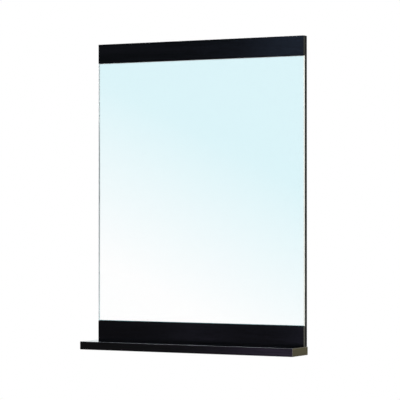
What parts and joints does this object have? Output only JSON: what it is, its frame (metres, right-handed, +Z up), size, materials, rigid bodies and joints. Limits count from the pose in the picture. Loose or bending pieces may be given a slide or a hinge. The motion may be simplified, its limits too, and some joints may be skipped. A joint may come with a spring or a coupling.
{
  "type": "wall mirror with shelf",
  "caption": "Flat wall mirror: frameless glass between a dark rail above and below, a shallow shelf at its foot, and swinging D-ring hangers on the back board.",
  "frame": {"origin": "on the wall plane, on the mirror's centre line, at the height where the two wall hooks bear inside the hanging rings", "axes": "+Z up, +Y into the wall, +X to the right as seen from the front, which faces -Y"},
  "size_m": [0.615, 0.105, 0.8],
  "materials": {
    "espresso_veneer": "dark stained veneer under satin lacquer",
    "end_band": "dark brown edge band under satin lacquer",
    "board_paint": "fibre board with a matt dark paint",
    "clear_glass": "clear float glass with ground edges",
    "silvering": "silver coat under backing paint",
    "foam_tape": "white foam tape",
    "setting_pad": "dark soft pad",
    "zinc_steel": "bright zinc plate",
    "beech": "bare turned wood",
    "bumper_rubber": "matt black rubber"
  },
  "bodies": {
    "mirror": {"back_board": "board_paint", "top_rail": "espresso_veneer", "bottom_rail": "espresso_veneer", "shelf_core": "espresso_veneer", "shelf_front_band": "espresso_veneer", "shelf_left_band": "end_band", "shelf_right_band": "end_band", "mirror_glass": "clear_glass", "mirror_silvering": "silvering", "mirror_tape_1": "foam_tape", "mirror_tape_2": "foam_tape", "mirror_tape_3": "foam_tape", "mirror_tape_4": "foam_tape", "left_glass_pad": "setting_pad", "right_glass_pad": "setting_pad", "top_rail_screws": "zinc_steel", "bottom_rail_screws": "zinc_steel", "shelf_screws": "zinc_steel", "shelf_dowels": "beech", "left_hanger_strap": "zinc_steel", "right_hanger_strap": "zinc_steel", "left_hanger_screws": "zinc_steel", "right_hanger_screws": "zinc_steel", "top_left_bumper": "bumper_rubber", "top_right_bumper": "bumper_rubber", "bottom_left_bumper": "bumper_rubber", "bottom_right_bumper": "bumper_rubber"},
    "left_ring": {"left_hanger_ring": "zinc_steel"},
    "right_ring": {"right_hanger_ring": "zinc_steel"}
  },
  "joints": [
    {"name": "left_ring_swing", "type": "hinge", "parent": "mirror", "child": "left_ring", "pos_m": [-0.2, -0.00347, -0.01472], "axis": [-1, 0, 0], "range_deg": [0, 175]},
    {"name": "right_ring_swing", "type": "hinge", "parent": "mirror", "child": "right_ring", "pos_m": [0.2, -0.00347, -0.01472], "axis": [-1, 0, 0], "range_deg": [0, 175]}
  ]
}
